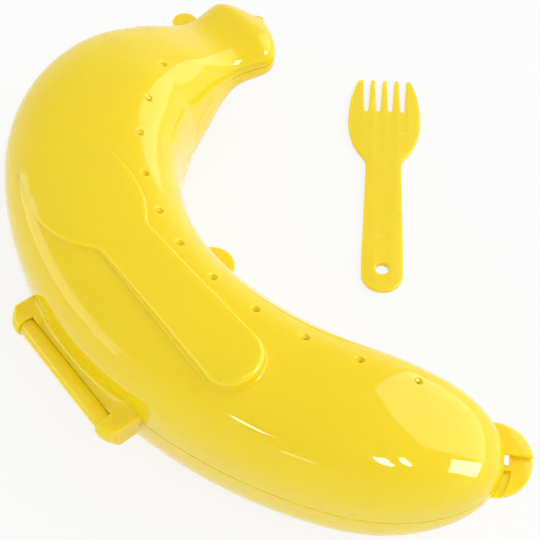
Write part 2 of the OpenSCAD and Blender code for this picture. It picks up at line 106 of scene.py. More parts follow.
# Hinge
HINGE_Y = -27.9
BAR_R = 2.75
STUB_R = 1.5
STUB_LENGTH = 3.0
EAR_X = 19.5
EAR_W = 6.0
EAR_R = 3.5
EAR_ROUND = 4.8
EAR_CLEAR = 0.5
EAR_EDGE = 0.5
# Least reach of an ear's round front, at its outer end
EAR_LEAST = 0.05
BAR_GAP = 0.5
BAR_SHOULDER = 0.35
STUB_CHAMFER = 0.2
SOCKET_CLEAR = 0.06
WEB_EDGE = 0.15
# Gaps that show are kept as narrow as in the photograph
BAR_END_GAP = 0.15
COVE_GAP = 0.12
# The cove leans over the bar as far as this share of its radius
COVE_HUG = 0.68
COVE_EDGE = 2.2
COVE_TOP = 5.5
COVE_ROUND = 0.2
# The cove's edge climbs to the ears over this length; its edge and its top end so far below the ears' tops
COVE_RAMP = 4.0
COVE_EDGE_SINK = 0.1
COVE_TOP_SINK = 0.05
# How far a piece that stands on the wall reaches into it: at the thin rim, under an ear, and elsewhere
RIM_ROOT = 0.5
EAR_ROOT = 0.75
ROOT = 1.0
# How far a cutter reaches past what it cuts, and the rounding of its edges
CUT_OVER = 1.0
CUT_EDGE = 0.05

# Fork
FORK_LENGTH = 94.0
FORK_T = 2.0
HANDLE_R = 6.75
HANDLE_NECK = 6.0
HEAD_HALF = 12.7
HEAD_AT = 74.0
HEAD_BACK = 21.0
HEAD_FRONT = 29.0
NECK_SOFT = 1.5
SLOTS = 4
SLOT_PITCH = 4.3
TINE_LENGTH = 15.7
SLOT_HALF = 0.65
SLOT_TIP_HALF = 1.36
SLOT_ROUND = 0.6
TIP_ROUND = 0.75
# Outer tips: how far the curved side ends before the tip, and how far in the tip's corner lies
OUTER_TIP_BACK = 0.6
OUTER_TIP_IN = 1.0
OUTER_TIP_ROUND = 0.3
FORK_EDGE = 0.4
HOLE_R = 2.2
HOLE_AT = 8.5
FORK_LIES_AT = (21.0, 70.9)
FORK_TURN = math.radians(137.2)

# Fork pad on the lid, and the pocket under it
PAD_LIFTS = ((0.0, 3.8), (53.0, 1.2), (74.0, 0.7), (94.0, -0.8))
PAD_OUT = 1.45
PAD_AT = 43.0
PAD_OFFSET = 1.8
PAD_ROOF = 1.4
PAD_TILT = math.radians(2.4)
POCKET_GAP = 0.25
POCKET_DEPTH = 12.0
PAD_ROUND = 1.3
PAD_FILLET = 0.8
# Where the pad is low, they take no more than these shares of its height
PAD_ROUND_SHARE = 0.55
PAD_FILLET_SHARE = 0.4
# The fillet's foot lies this far under the dome
PAD_SINK = 0.03

# Vents in the lid: dimples with a rounded rim that narrow to a small bore
VENT_R = 0.95
VENT_RIM = 0.6
VENT_DIMPLE = 1.2
VENT_FOOT_R = 0.25
# Their cutters reach this far below and above the dome, where they step out beyond the rim
VENT_BELOW = 2.5 * WALL
VENT_ABOVE = 1.5
VENT_STEP = 0.12
VENT_MOUTH_R = VENT_R + 1.5 * VENT_RIM
# The dome's slope is taken over this length
SLOPE_STEP = 0.5
# Row of vents: places along the spine, and shares of the half width by place
VENTS_EACH_WAY = 5
VENT_MID = 2.0
VENT_PITCH = 16.6
VENT_STEM_PITCH = 13.4
VENT_GROWTH = 1.08
VENT_SHARES = ((-96.0, 0.46), (-74.0, 0.62), (0.0, 0.55), (TAIL_LENGTH, 0.475))

# Finger tabs at the seam
TAB_T = 1.5
TAB_EDGE = 0.4
INNER_TAB_R = 6.8
INNER_TAB_AT = -5.0
NECK_TAB_R = 4.2
NECK_TAB_AT = -127.0
NECK_TAB_OUT = 4.2
TAIL_TAB_R = 10.1
TAIL_TAB_AT = TAIL_LENGTH - 2.6
TAIL_TAB_ASIDE = 1.5
TAIL_SPLIT = 1.5
TAIL_LAP = 0.8
# Degrees round the tail's tab at which the lid's and the base's part of it end
LID_TAB_END = 104.0
BASE_TAB_END = -91.0
GROOVE_W = 2.0
GROOVE_LAND = 0.2
GROOVE_DEPTH = 1.0
# Degrees of the tail's round end between which the groove runs
GROOVE_FROM = 34.0
GROOVE_TO = 88.0
SLIT_LENGTH = 2.5
SLIT_W = 1.3
SLIT_ROUND = 0.3
STEM_TAB_W = 7.5
STEM_TAB_DEEP = 0.82 * STEM_TAB_W
STEM_TAB_ROUND_OUT = 0.6
STEM_TAB_ROUND_IN = 0.3
STEM_TAB_OUT = 1.6
STEM_TAB_ASIDE = 8.2
STEM_TAB_TURN = math.radians(36.0)

# Fineness of the meshes
BODY_RINGS = 130
CAP_RINGS = 22
CAP_SWEEP = math.radians(89.0)
OUTER_STEPS = 71
INNER_STEPS = 41
HANDLE_STEPS = 14
FORK_STEPS = 90
PAD_STEPS = 150
PAD_ACROSS = 21
POCKET_HANDLE_STEPS = 10
POCKET_STEPS = 60
EAR_LAYERS = 10
COVE_RINGS = 121
COVE_STEPS = 8
WEB_STEPS = 25
BAR_SEGMENTS = 48
TAIL_TAB_STEPS = 30
TAIL_WALL_STEPS = 16
TAIL_WALL_PLACES = 400
GROOVE_STEPS = 16
BEVEL_STEPS = 3
ARC_STEP = math.radians(12.0)
# An arc takes no more than this share of the sides beside its corner
ARC_SHARE = 0.49
# Points of a plate closer than this, in millimetres, are one
MERGE_DISTANCE = 1e-5
# A corner's normal is looked up this share of the way to its face's middle
INWARD_SHARE = 0.01
SHARP_ANGLE = math.radians(32.0)


# Spine and sections

def follow(chain, s):
    """Position and heading at distances s along a chain of arcs that starts at the origin along +X."""
    x = y = heading = np.zeros_like(s)
    left = s
    for radius, turn in chain:
        step = np.clip(left, 0.0, radius * math.radians(turn))
        left = left - step
        ahead = heading + step / radius
        x = x + radius * (np.sin(ahead) - np.sin(heading))
        y = y + radius * (np.cos(heading) - np.cos(ahead))
        heading = ahead
    return x, y, heading


def spine(s):
    """Plan position and heading of the spine; s is negative on the stem's side."""
    s = np.asarray(s, float)
    tx, ty, th = follow(TAIL_CHAIN, np.abs(s))
    sx, sy, sh = follow(STEM_CHAIN, np.abs(s))
    tail = s >= 0
    return np.where(tail, tx, -sx), np.where(tail, ty, sy), np.where(tail, th, -sh)


def beside(s, offset):
    """Plan points at distances along the spine and offsets towards the hollow of the bend."""
    x, y, heading = spine(s)
    return np.stack([x - np.sin(heading) * offset, y + np.cos(heading) * offset], axis=-1)


def size_at(s, column):
    """Section size between the stations: a cubic whose slopes come from the neighbours."""
    place, value = STATIONS[:, 0], STATIONS[:, column]
    slope = np.zeros(len(place))
    slope[1:-1] = (value[2:] - value[:-2]) / (place[2:] - place[:-2])
    i = np.clip(np.searchsorted(place, s, side="right") - 1, 0, len(place) - 2)
    d = place[i + 1] - place[i]
    u = np.clip((s - place[i]) / d, 0.0, 1.0)
    v = 1.0 - u
    return ((1 + 2 * u) * v * v * value[i] + u * v * v * d * slope[i]
            + (1 + 2 * v) * u * u * value[i + 1] - u * u * v * d * slope[i + 1])


def tail_u(s, inset):
    """How far into the tail's round end a place lies, from 0 to 1."""
    return np.clip((s - TAIL_LENGTH + TAIL_CAP) / (TAIL_CAP - inset), 0.0, 1.0)


def stem_u(s, inset):
    """How far into the stem's end a place lies, from 0 to 1."""
    return np.clip((-s - STEM_LENGTH + STEM_CAP) / (STEM_CAP - inset), 0.0, 1.0)


def end_round(u):
    """Share of a size that is left as an end closes."""
    return np.maximum(0.0, 1.0 - u ** END_POWER) ** (1.0 / END_POWER)


def half_width(s, inset):
    """Half width of the case at places along the spine, less an inset."""
    return (size_at(s, WIDTH) - inset) * end_round(tail_u(s, inset)) * end_round(stem_u(s, inset))


def height(s, inset, column):
    """Height of the lid or depth of the base at places along the spine, less an inset."""
    droop = 1.0 - STEM_DROOP * stem_u(s, inset) ** END_POWER
    return (size_at(s, column) - inset) * end_round(tail_u(s, inset)) * droop


def stops(inset):
    """Places of the rings along the spine; an inset surface has its ends pulled in by the same inset."""
    sweep = np.sin(CAP_SWEEP * np.arange(1, CAP_RINGS + 1) / CAP_RINGS)
    stem_from, tail_from = -(STEM_LENGTH - STEM_CAP), TAIL_LENGTH - TAIL_CAP
    return np.concatenate([
        (stem_from - (STEM_CAP - inset) * sweep)[::-1],
        np.linspace(stem_from, tail_from, BODY_RINGS),
        tail_from + (TAIL_CAP - inset) * sweep,
    ])


def section_point(s, offset, w, inset):
    """Plan points of the sections: the stem's end slants back towards its outer side."""
    heading = spine(s)[2]
    back = STEM_SLANT * (w - offset) * stem_u(s, inset)
    return beside(s, offset) + back[..., None] * np.stack([np.cos(heading), np.sin(heading)], axis=-1)


def arc_points(inset, column, steps, z0, up, least, low=NO_LIMIT):
    """Half section of every ring, from the hollow side outwards, at least some way off the rim."""
    s = stops(inset)
    phi = np.linspace(0.0, math.pi, steps)
    e = 2.0 / SECTION_POWER
    cosine = np.sign(np.cos(phi)) * np.abs(np.cos(phi)) ** e
    rise = np.maximum(height(s, inset, column)[:, None] * np.abs(np.sin(phi)) ** e, least)
    w = half_width(s, inset)[:, None]
    plan = section_point(s[:, None], w * cosine, w, inset)
    z = np.maximum(z0 + up * rise, low)
    return np.concatenate([plan, z[..., None]], axis=-1)


def rim_point(inset, side, z):
    """One point of every ring on the rim, at an inset from the outer wall."""
    s = stops(inset)
    w = half_width(s, inset)
    plan = section_point(s, side * w, w, inset)
    return np.concatenate([plan, np.full((len(s), 1), z)], axis=-1)[:, None]


# Meshes

def turn_outwards(bm):
    bmesh.ops.recalc_face_normals(bm, faces=bm.faces)
    if bm.calc_volume(signed=True) < 0:
        bmesh.ops.reverse_faces(bm, faces=bm.faces)


def mesh_object(name, points, faces):
    """New object from points in millimetres, with its faces turned outwards."""
    mesh = bpy.data.meshes.new(name)
    mesh.from_pydata((np.asarray(points, float) * MM).tolist(), [], faces)
    bm = bmesh.new()
    bm.from_mesh(mesh)
    turn_outwards(bm)
    bm.to_mesh(mesh)
    bm.free()
    obj = bpy.data.objects.new(name, mesh)
    bpy.context.scene.collection.objects.link(obj)
    return obj


def tube_faces(rings, n, first=0):
    """Faces between neighbouring closed rings of n points each; first is the first ring's first point."""
    faces = []
    for i in range(rings - 1):
        a = first + i * n
        for k in range(n):
            j = (k + 1) % n
            faces.append((a + k, a + j, a + n + j, a + n + k))
    return faces


def evaluated_mesh(obj):
    bpy.context.view_layer.update()
    return bpy.data.meshes.new_from_object(obj.evaluated_get(bpy.context.evaluated_depsgraph_get()))


def delete(obj):
    data = obj.data
    bpy.data.objects.remove(obj)
    if isinstance(data, bpy.types.Mesh):
        bpy.data.meshes.remove(data)
    else:
        bpy.data.curves.remove(data)


def shade(obj):
    """Smooth shading that keeps real edges sharp."""
    obj.data.shade_smooth()
    obj.data.set_sharp_from_angle(angle=SHARP_ANGLE)


def solid(name, points, faces):
    """New shaded object from points in millimetres."""
    obj = mesh_object(name, points, faces)
    shade(obj)
    return obj


def prism(name, outline, low, high):
    """Upright solid between two heights, each of them one number or one per point of the outline."""
    n = len(outline)
    points = np.concatenate([np.column_stack([outline, np.broadcast_to(z, n)]) for z in (low, high)])
    faces = tube_faces(2, n) + [tuple(range(n)), tuple(range(2 * n - 1, n - 1, -1))]
    return solid(name, points, faces)


def shell(name, column, inner_least, up, z0, rim, inner_low=NO_LIMIT, outer_low=NO_LIMIT):
    """Closed half shell lofted along the spine: outer section, the rim's steps, inner section back.

    rim lists (inset, z) from the outer wall inwards. Each end is closed by joining mirrored points.
    """
    outer = arc_points(SMOOTH_INSET, column, OUTER_STEPS, z0, up, RIM_ROUND, outer_low)
    inner = arc_points(WALL, column, INNER_STEPS, z0, up, inner_least, inner_low)[:, ::-1]
    down = [rim_point(inset, -1, z) for inset, z in rim]
    back = [rim_point(inset, 1, z) for inset, z in reversed(rim)]
    grid = np.concatenate([outer, *down, inner, *back], axis=1)
    rings, n = grid.shape[:2]
    faces = tube_faces(rings, n)
    first = (OUTER_STEPS - 1) // 2
    final = OUTER_STEPS + len(rim) + (INNER_STEPS - 1) // 2
    for a in (0, (rings - 1) * n):
        for k in range(first, final):
            pair = [k, k + 1, (OUTER_STEPS - 2 - k) % n, (OUTER_STEPS - 1 - k) % n]
            faces.append(tuple(a + v for v in dict.fromkeys(pair)))
    return solid(name, grid.reshape(-1, 3), faces)


def rounded(corners):
    """Closed outline from (x, y, radius) corners, each rounded by an arc."""
    out = []
    count = len(corners)
    for i, (x, y, radius) in enumerate(corners):
        here = np.array((x, y))
        if radius <= 0:
            out.append(here)
            continue
        before = np.array(corners[i - 1][:2]) - here
        after = np.array(corners[(i + 1) % count][:2]) - here
        lb, la = np.linalg.norm(before), np.linalg.norm(after)
        before, after = before / lb, after / la
        half = math.acos(np.clip(before @ after, -1, 1)) / 2
        reach = min(radius / math.tan(half), ARC_SHARE * lb, ARC_SHARE * la)
        radius = reach * math.tan(half)
        bisector = before + after
        middle = here + bisector / np.linalg.norm(bisector) * radius / math.sin(half)
        start, end = here + before * reach - middle, here + after * reach - middle
        a0 = math.atan2(start[1], start[0])
        sweep = (math.atan2(end[1], end[0]) - a0 + math.pi) % (2 * math.pi) - math.pi
        steps = max(2, int(abs(sweep) / ARC_STEP) + 1)
        for k in range(steps + 1):
            a = a0 + sweep * k / steps
            out.append(middle + radius * np.array((math.cos(a), math.sin(a))))
    return np.array(out)


def plate(name, outlines, thickness, edge, place, layers=1):
    """Plate with rounded edges from flat outlines in its own plane; the second and later ones are holes.

    place turns points of the plate, with its underside at z = 0, into the part's frame. A plate that place
    bends is cut into layers first.
    """
    curve = bpy.data.curves.new(name, "CURVE")
    curve.dimensions = "2D"
    curve.fill_mode = "BOTH"
    curve.extrude = thickness / 2 - edge
    curve.bevel_depth = edge
    curve.bevel_resolution = BEVEL_STEPS
    curve.offset = -edge
    for outline in outlines:
        spline = curve.splines.new("POLY")
        spline.points.add(len(outline) - 1)
        spline.use_cyclic_u = True
        for point, (x, y) in zip(spline.points, outline):
            point.co = (x, y, 0.0, 1.0)
    source = bpy.data.objects.new(name, curve)
    bpy.context.scene.collection.objects.link(source)
    mesh = evaluated_mesh(source)
    delete(source)
    bm = bmesh.new()
    bm.from_mesh(mesh)
    bmesh.ops.remove_doubles(bm, verts=bm.verts, dist=MERGE_DISTANCE)
    for i in range(1, layers):
        level = (i / layers - 0.5) * (thickness - 2 * edge)
        everything = [*bm.verts, *bm.edges, *bm.faces]
        bmesh.ops.bisect_plane(bm, geom=everything, plane_co=(0, 0, level), plane_no=(0, 0, 1))
    for vert in bm.verts:
        vert.co = Vector(place(vert.co.x, vert.co.y, vert.co.z + thickness / 2)) * MM
    turn_outwards(bm)
    bm.to_mesh(mesh)
    bm.free()
    obj = bpy.data.objects.new(name, mesh)
    bpy.context.scene.collection.objects.link(obj)
    shade(obj)
    return obj


def lathe(name, profile, place, segments=32):
    """Closed solid of revolution; profile lists (radius, z) and starts and ends on the axis."""
    turn = 2 * math.pi * np.arange(segments) / segments
    points = [place(0.0, 0.0, profile[0][1])]
    for r, z in profile[1:-1]:
        points += [place(r * math.cos(a), r * math.sin(a), z) for a in turn]
    points.append(place(0.0, 0.0, profile[-1][1]))
    rows = len(profile) - 2
    faces = [(0, 1 + j, 1 + (j + 1) % segments) for j in range(segments)]
    faces += tube_faces(rows, segments, first=1)
    a, end = 1 + (rows - 1) * segments, len(points) - 1
    faces += [(end, a + (j + 1) % segments, a + j) for j in range(segments)]
    return solid(name, points, faces)


class Source:
    """A clean mesh whose normals are handed on to what a Boolean makes of it."""

    def __init__(self, obj):
        mesh = obj.data
        mesh.calc_loop_triangles()
        corner = np.empty(len(mesh.loops) * 3)
        mesh.corner_normals.foreach_get("vector", corner)
        corner = corner.reshape(-1, 3)
        loops = np.empty(len(mesh.loop_triangles) * 3, int)
        mesh.loop_triangles.foreach_get("loops", loops)
        verts = np.empty(len(mesh.loop_triangles) * 3, int)
        mesh.loop_triangles.foreach_get("vertices", verts)
        self.at = np.array([v.co for v in mesh.vertices])
        self.triangles = verts.reshape(-1, 3)
        self.normals = corner[loops].reshape(-1, 3, 3)
        self.tree = BVHTree.FromPolygons(self.at.tolist(), self.triangles.tolist())

    def normal(self, point):
        """Normal of the mesh at its place nearest to a point."""
        _, _, index, _ = self.tree.find_nearest(point)
        a, b, c = self.at[self.triangles[index]]
        u, v, w = b - a, c - a, np.array(point) - a
        uu, uv, vv, wu, wv = u @ u, u @ v, v @ v, w @ u, w @ v
        d = uu * vv - uv * uv
        s = np.clip((vv * wu - uv * wv) / d, 0, 1) if d else 0.0
        t = np.clip((uu * wv - uv * wu) / d, 0, 1 - s) if d else 0.0
        n = self.normals[index]
        return (1 - s - t) * n[0] + s * n[1] + t * n[2]


def combine(body, steps):
    """Boolean steps (operation, object) on a body; each face keeps the normals of the mesh it came from."""
    parts = [body] + [obj for _, obj in steps]
    sources = [Source(obj) for obj in parts]
    for i, obj in enumerate(parts):
        for _ in parts:
            obj.data.materials.append(None)
        obj.data.polygons.foreach_set("material_index", [i] * len(obj.data.polygons))
    for operation, obj in steps:
        modifier = body.modifiers.new(operation, "BOOLEAN")
        modifier.operation = operation
        modifier.solver = "MANIFOLD"
        modifier.object = obj
    mesh = evaluated_mesh(body)
    body.modifiers.clear()
    old = body.data
    mesh.name = body.name
    body.data = mesh
    bpy.data.meshes.remove(old)
    for _, obj in steps:
        delete(obj)
    hand_on_normals(mesh, sources)
    mesh.materials.clear()
    return body


def hand_on_normals(mesh, sources):
    """Sets each corner's normal from the clean mesh that its face came from."""
    mesh.shade_smooth()
    normals = np.zeros((len(mesh.loops), 3))
    for face in mesh.polygons:
        source = sources[face.material_index]
        for loop in face.loop_indices:
            at = mesh.vertices[mesh.loops[loop].vertex_index].co
            n = source.normal(at.lerp(face.center, INWARD_SHARE))
            normals[loop] = n if n @ np.array(face.normal) >= 0 else -n
    mesh.normals_split_custom_set(normals.tolist())


# Lid's dome, which the pad and the vents follow

def lid_top(x, y):
    """Height of the dome at plan points on the bend beside the hinge."""
    radius = TAIL_CHAIN[0][0]
    s = radius * np.arctan2(x, radius - y)
    q = np.abs(radius - np.hypot(x, radius - y)) / half_width(s, SMOOTH_INSET)
    share = np.maximum(0.0, 1.0 - q ** SECTION_POWER) ** (1.0 / SECTION_POWER)
    return PARTING_Z + height(s, SMOOTH_INSET, LID) * share


# Fork outline

def fork_half(x):
    """Half width of the fork at distances from the handle's end: a tapered handle and an oval head."""
    neck = HEAD_AT - HEAD_BACK
    taper = HANDLE_R + (HANDLE_NECK - HANDLE_R) * np.clip((x - HANDLE_R) / (neck - HANDLE_R), 0, 1)
    handle = np.where(x < HANDLE_R, np.sqrt(np.maximum(0, HANDLE_R ** 2 - (HANDLE_R - x) ** 2)), taper)
    u = (x - HEAD_AT) / np.where(x < HEAD_AT, HEAD_BACK, HEAD_FRONT)
    head = HEAD_HALF * np.sqrt(np.maximum(0, 1 - u * u))
    soft = (handle + head + np.sqrt((handle - head) ** 2 + NECK_SOFT ** 2)) / 2
    return np.where(x < 2 * HANDLE_R, handle, soft)


def fork_edge(round_steps, body_steps, last):
    """Upper side of the fork's outline from the handle's end to a distance along it, as points."""
    angle = np.linspace(0, math.pi / 2, round_steps, endpoint=False)
    x = np.concatenate([HANDLE_R * (1 - np.cos(angle)), np.linspace(HANDLE_R, last, body_steps)])
    return np.stack([x, fork_half(x)], axis=-1)


def moved_out(side, distance):
    """Outline of the upper side moved outwards; distance is one number or one per point."""
    along = np.gradient(side, axis=0)
    along[0] = (0.0, 1.0)
    normal = np.stack([-along[:, 1], along[:, 0]], axis=-1)
    normal /= np.linalg.norm(normal, axis=1)[:, None]
    return side + normal * np.broadcast_to(distance, len(side))[:, None]


def stowed(points):
    """Plan points of the fork as it stows under the pad, in the part's frame."""
    return np.stack([PAD_AT - points[..., 0], PAD_OFFSET - points[..., 1]], axis=-1)


def pad_lift(x):
    """Height of the pad over the dome at distances along the fork."""
    places, lifts = zip(*PAD_LIFTS)
    return np.interp(x, places, lifts)


def make_pad():
    """Pad over the pocket: it follows the dome, with a fillet at its foot and a round upper edge."""
    side = fork_edge(HANDLE_STEPS, PAD_STEPS, FORK_LENGTH)
    lift = pad_lift(side[:, 0])
    proud = np.maximum(lift, 0.0)
    top_r = np.minimum(PAD_ROUND, PAD_ROUND_SHARE * proud)
    foot_r = np.minimum(PAD_FILLET, PAD_FILLET_SHARE * proud)
    foot = np.minimum(lift, 0.0)
    layers = [(PAD_OUT + foot_r, foot - ROOT)]
    for a in np.radians(np.linspace(0, 90, 6)):
        rise = foot + foot_r * (1 - math.cos(a)) - PAD_SINK * math.cos(a)
        layers.append((PAD_OUT + foot_r * (1 - math.sin(a)), rise))
    for a in np.radians(np.linspace(8, 90, 8)):
        layers.append((PAD_OUT - top_r * (1 - math.cos(a)), lift - top_r * (1 - math.sin(a))))
    count = len(side)
    n = 2 * count - 1
    points = []
    for out, rise in layers:
        upper = moved_out(side, out)
        lower = upper[:0:-1] * (1, -1)
        plan = stowed(np.concatenate([upper, lower]))
        rise = np.concatenate([rise, rise[:0:-1]])
        points.append(np.column_stack([plan, lid_top(plan[:, 0], plan[:, 1]) + rise]))
    shares = np.linspace(1, -1, PAD_ACROSS)[1:-1]
    edge = moved_out(side, layers[-1][0])
    for i in range(1, count):
        plan = stowed(np.stack([np.full(len(shares), edge[i, 0]), edge[i, 1] * shares], axis=-1))
        points.append(np.column_stack([plan, lid_top(plan[:, 0], plan[:, 1]) + lift[i]]))
    faces = tube_faces(len(layers), n)
    top, extra = (len(layers) - 1) * n, len(layers) * n
    rows = []
    for i in range(1, count):
        inner = [extra + (i - 1) * len(shares) + c for c in range(len(shares))]
        rows.append([top + i, *inner, top + n - i])
    for row, ahead in zip(rows, rows[1:]):
        faces += [(row[c], ahead[c], ahead[c + 1], row[c + 1]) for c in range(len(row) - 1)]
    faces += [(top, rows[0][c], rows[0][c + 1]) for c in range(len(rows[0]) - 1)]
    faces.append(tuple(rows[-1]))
    faces.append((0, n - 1, 1))
    faces += [(i, n - i, n - i - 1, i + 1) for i in range(1, count - 1)]
    return solid("fork_pad", np.concatenate(points), faces)


def make_pocket():
    """Cutter for the fork's pocket, whose roof falls towards the tips."""
    side = moved_out(fork_edge(POCKET_HANDLE_STEPS, POCKET_STEPS, FORK_LENGTH), POCKET_GAP)
    outline = np.concatenate([side, side[:0:-1] * (1, -1)])
    roof = float(lid_top(PAD_AT, PAD_OFFSET)) + PAD_LIFTS[0][1] - PAD_ROOF
    top = roof - outline[:, 0] * math.tan(PAD_TILT)
    return prism("pocket", stowed(outline), top - POCKET_DEPTH, top)


def vent_place(i):
    """Place along the spine of a vent, counted from the middle one; towards the stem they draw apart."""
    if i >= 0:
        return i * VENT_PITCH - VENT_MID
    return i * VENT_STEM_PITCH - VENT_GROWTH * i * i - VENT_MID


def dome(s, offset):
    """Point of the lid's dome at a distance along the spine and an offset from it."""
    w = float(half_width(s, SMOOTH_INSET))
    share = (1 - abs(offset / w) ** SECTION_POWER) ** (1.0 / SECTION_POWER)
    rise = float(height(s, SMOOTH_INSET, LID)) * share
    x, y = beside(s, offset)
    return np.array((x, y, PARTING_Z + rise))


def make_vents():
    """Cutters for the vents: upright bores whose rounded rims follow the slope of the dome."""
    profile = [(0.0, -VENT_BELOW), (VENT_FOOT_R, -VENT_BELOW),
               (VENT_FOOT_R, -VENT_DIMPLE), (VENT_R, -VENT_RIM)]
    profile += [(VENT_R + VENT_RIM * (1 - math.cos(a)), -VENT_RIM * (1 - math.sin(a)))
                for a in np.radians((18, 36, 54, 72, 86))]
    profile += [(VENT_MOUTH_R, VENT_STEP), (VENT_MOUTH_R, VENT_ABOVE), (0.0, VENT_ABOVE)]
    cutters = []
    for i in range(-VENTS_EACH_WAY, VENTS_EACH_WAY + 1):
        s = vent_place(i)
        offset = float(np.interp(s, *zip(*VENT_SHARES)) * half_width(s, 0.0))
        middle = dome(s, offset)
        ahead, aside = dome(s + SLOPE_STEP, offset) - middle, dome(s, offset + SLOPE_STEP) - middle
        fall = np.linalg.solve(np.array((ahead[:2], aside[:2])), np.array((ahead[2], aside[2])))
        cutters.append(lathe(
            "vent", profile,
            lambda u, v, w, m=middle, g=fall: (m[0] + u, m[1] + v, m[2] + w + g[0] * u + g[1] * v)))
    return cutters


# Hinge

def wall_y(x, v=0.0, inset=0.0):
    """Y of the lid's wall beside the hinge, at a height above the seam."""
    radius = TAIL_CHAIN[0][0]
    turn = np.arcsin(x / (radius + size_at(0.0, WIDTH)))
    s = radius * turn
    share = (1 - (v / height(s, inset, LID)) ** SECTION_POWER) ** (1.0 / SECTION_POWER)
    return radius - (radius + half_width(s, inset) * share) * np.cos(turn)


def ear_reach(x):
    """Radius about the hinge within which an ear clears the base's wall as the lid turns."""
    return float(wall_y(x)) - HINGE_Y - EAR_CLEAR


def make_ear(side):
    """Ear of the lid around one stub: round about the hinge axis, and narrowing to its outer corner."""
    ends = side * EAR_X, side * (EAR_X + EAR_W)
    reach, outer_reach = (ear_reach(x) for x in ends)
    deep, outer_deep = (float(wall_y(x)) + EAR_ROOT - HINGE_Y for x in ends)
    front = np.radians(np.arange(96, 265, 6))
    back = np.linspace(-math.asin(EAR_R / reach), math.asin(SEAM / reach), 9)
    profile = [(0.0, EAR_R), *((EAR_R * math.cos(a), EAR_R * math.sin(a)) for a in front), (0.0, -EAR_R)]
    profile += [(reach * math.cos(a), reach * math.sin(a)) for a in back]
    profile += [(deep, SEAM), (deep, EAR_R)]

    def place(u, v, w):
        share = w / EAR_W
        if u > 0 and v > SEAM:
            u *= 1 + (outer_deep / deep - 1) * share
        elif u > 0:
            wide = reach + (outer_reach - reach) * share
            u *= math.sqrt((wide ** 2 - v * v) / (reach ** 2 - v * v))
        else:
            across = max(0.0, w - EAR_W + EAR_ROUND)
            front_reach = math.sqrt(max(0.0, EAR_ROUND ** 2 - across ** 2)) - EAR_ROUND + EAR_R
            u *= max(EAR_LEAST, front_reach) / EAR_R
        return side * (EAR_X + w), HINGE_Y + u, PARTING_Z + v

    return plate("hinge_ear", [profile], EAR_W, EAR_EDGE, place, layers=EAR_LAYERS)


def smooth_step(t):
    """Soft climb from 0 to 1."""
    t = np.clip(t, 0.0, 1.0)
    return t * t * (3 - 2 * t)


def make_cove():
    """Cove between the bar and the lid's wall: it hugs the bar and fades out over the ears' tops."""
    hug = BAR_R + COVE_GAP

    def near(v):
        """Y of the cove's wall beside the bar, at heights above the seam."""
        return HINGE_Y + np.sqrt(np.maximum(hug ** 2 - v ** 2, (COVE_HUG * hug) ** 2))

    x = np.linspace(-1, 1, COVE_RINGS) * (EAR_X + EAR_W - EAR_EDGE)
    climb = smooth_step((np.abs(x) - EAR_X + COVE_RAMP) / COVE_RAMP)
    fade = smooth_step((np.abs(x) - EAR_X) / (EAR_W - EAR_EDGE))
    edge = COVE_EDGE + (EAR_R - COVE_EDGE_SINK - COVE_EDGE) * climb
    top = COVE_TOP + (EAR_R - COVE_TOP_SINK - COVE_TOP) * fade
    far = wall_y(x, top, SMOOTH_INSET)
    start = near(edge) + COVE_ROUND
    rows = [(far + RIM_ROOT, 0.0)]
    rows += [(near(v), v) for v in np.linspace(0, 1, COVE_STEPS)[:, None] * (edge - COVE_ROUND)]
    for a in np.radians(np.arange(15, 90, 15)):
        rows.append((start - COVE_ROUND * math.cos(a), edge - COVE_ROUND * (1 - math.sin(a))))
    for a in np.radians(np.arange(0, 91, 6)):
        rows.append((start + (far - start) * math.sin(a), edge + (top - edge) * (1 - math.cos(a))))
    rows.append((far + RIM_ROOT, top))
    grid = np.empty((len(x), len(rows), 3))
    for k, (y, v) in enumerate(rows):
        grid[:, k, 0], grid[:, k, 1], grid[:, k, 2] = x, y, PARTING_Z + v
    rings, n = grid.shape[:2]
    faces = tube_faces(rings, n) + [tuple(range(n)), tuple(range((rings - 1) * n, rings * n))]
    return solid("hinge_cove", grid.reshape(-1, 3), faces)


def make_sockets():
    """Cutters for the blind sockets in the ears."""
    radius, depth = STUB_R + SOCKET_CLEAR, STUB_LENGTH + BAR_GAP
    profile = [(0.0, -CUT_OVER), (radius, -CUT_OVER), (radius, depth), (0.0, depth)]
    return [lathe("socket", profile, lambda u, v, w, k=side: (k * (EAR_X + w), HINGE_Y + u, PARTING_Z + v))
            for side in (-1, 1)]


def make_bar():
    """Hinge bar of the base with a stub at each end and rounded shoulders."""
    half, tip = EAR_X - BAR_END_GAP, EAR_X + STUB_LENGTH
    end = [(BAR_R - BAR_SHOULDER * (1 - math.cos(a)), half - BAR_SHOULDER * (1 - math.sin(a)))
           for a in np.radians((0, 30, 60, 90))]
    end += [(STUB_R, half), (STUB_R, tip - STUB_CHAMFER), (STUB_R - STUB_CHAMFER, tip), (0.0, tip)]
    profile = [(r, -x) for r, x in reversed(end)] + end
    return lathe("hinge_bar", profile, lambda u, v, w: (w, HINGE_Y + u, PARTING_Z + v), BAR_SEGMENTS)


def make_web():
    """Web under the bar that carries it on the base's wall."""
    half = EAR_X - BAR_END_GAP
    x = np.linspace(half, -half, WEB_STEPS)
    outline = [(-half, HINGE_Y), (half, HINGE_Y)] + list(zip(x, wall_y(x) + ROOT))
    low, high = PARTING_Z - BAR_R, PARTING_Z - BAR_GAP
    return plate("hinge_web", [outline], high - low, WEB_EDGE, lambda u, v, w: (u, v, low + w))


# Finger tabs

